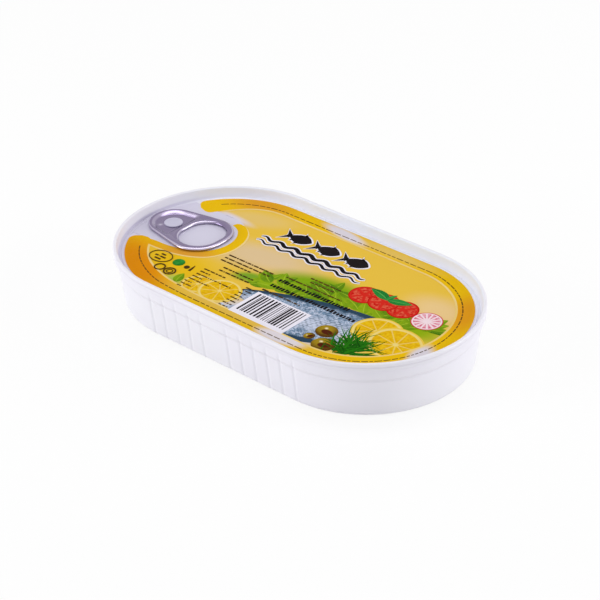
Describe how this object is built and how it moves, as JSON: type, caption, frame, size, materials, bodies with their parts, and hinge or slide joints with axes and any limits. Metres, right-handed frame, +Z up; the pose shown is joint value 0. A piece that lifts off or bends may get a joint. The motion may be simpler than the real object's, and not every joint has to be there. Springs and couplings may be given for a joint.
{
  "type": "oval easy-open fish tin",
  "caption": "Shut oval fish tin with fluted flanks, a rolled seam round a sunk printed lid, and a ring pull on a rivet.",
  "frame": {"origin": "middle of the tin's footprint, on the surface it stands on", "axes": "+X along the tin, away from the ring pull, +Y across it, +Z up"},
  "size_m": [0.1454, 0.081, 0.0224],
  "materials": {
    "body_lacquer": "satin white lacquer",
    "lid_lacquer": "satin lacquer, printed panel",
    "tab_metal": "bright rolled",
    "rivet_metal": "satin"
  },
  "bodies": {
    "root": {"can_body": "body_lacquer", "lid_end": "lid_lacquer", "pull_tab": "tab_metal", "rivet": "rivet_metal"}
  },
  "joints": []
}
